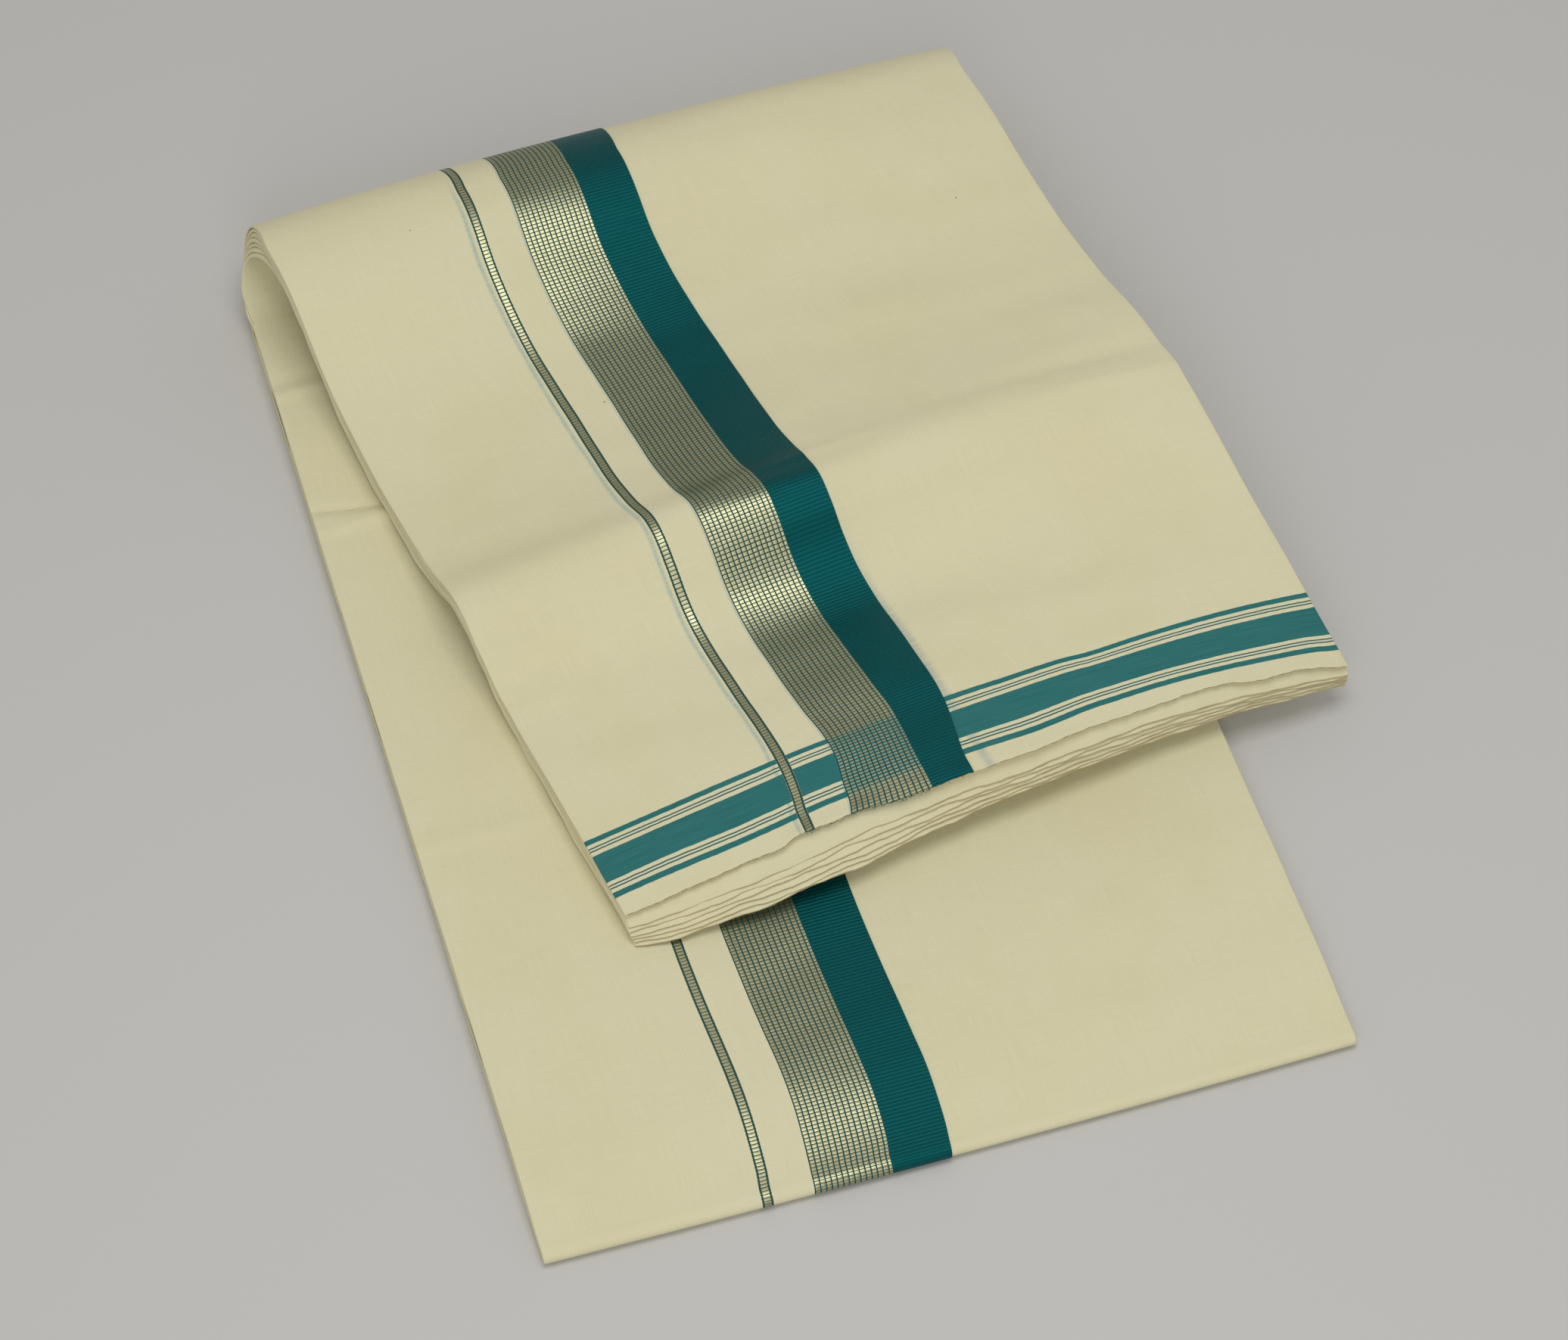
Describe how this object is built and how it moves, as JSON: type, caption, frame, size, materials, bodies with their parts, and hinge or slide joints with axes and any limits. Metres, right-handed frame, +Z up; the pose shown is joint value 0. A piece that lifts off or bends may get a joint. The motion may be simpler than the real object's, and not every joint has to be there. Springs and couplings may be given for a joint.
{
  "type": "folded dhoti cloth",
  "caption": "Cream cotton dhoti with a teal and zari border, folded into a long packet and looped over so that its striped cut end lies on its lower half.",
  "frame": {"origin": "middle of the bounding box, on the surface that the cloth lies on", "axes": "+X to the right along the front fold, +Y back towards the loop, +Z up"},
  "size_m": [0.2974, 0.404, 0.0496],
  "materials": {
    "cotton": "unbleached cream cotton, plain weave, matt",
    "zari": "gold zari thread between dark teal warp lines, lightly shining",
    "teal": "dark teal cotton with fine ribs along the weft",
    "stripe": "dusty teal cotton stripe, plain weave, matt"
  },
  "bodies": {
    "root": {"lower_layers": "cotton", "lower_fold_leaf": "cotton", "lower_zari_line": "zari", "lower_plain_gap": "cotton", "lower_zari_band": "zari", "lower_teal_band": "teal", "lower_field_leaf": "cotton", "loop_layers": "cotton", "upper_layers": "cotton", "upper_fold_leaf": "cotton", "upper_fold_leaf_stripe": "stripe", "upper_fold_leaf_margin": "cotton", "upper_zari_line": "zari", "upper_plain_gap": "cotton", "upper_plain_gap_stripe": "stripe", "upper_plain_gap_margin": "cotton", "upper_zari_band": "zari", "upper_teal_band": "teal", "upper_field_leaf": "cotton", "upper_field_leaf_stripe": "stripe", "upper_field_leaf_margin": "cotton"}
  },
  "joints": []
}
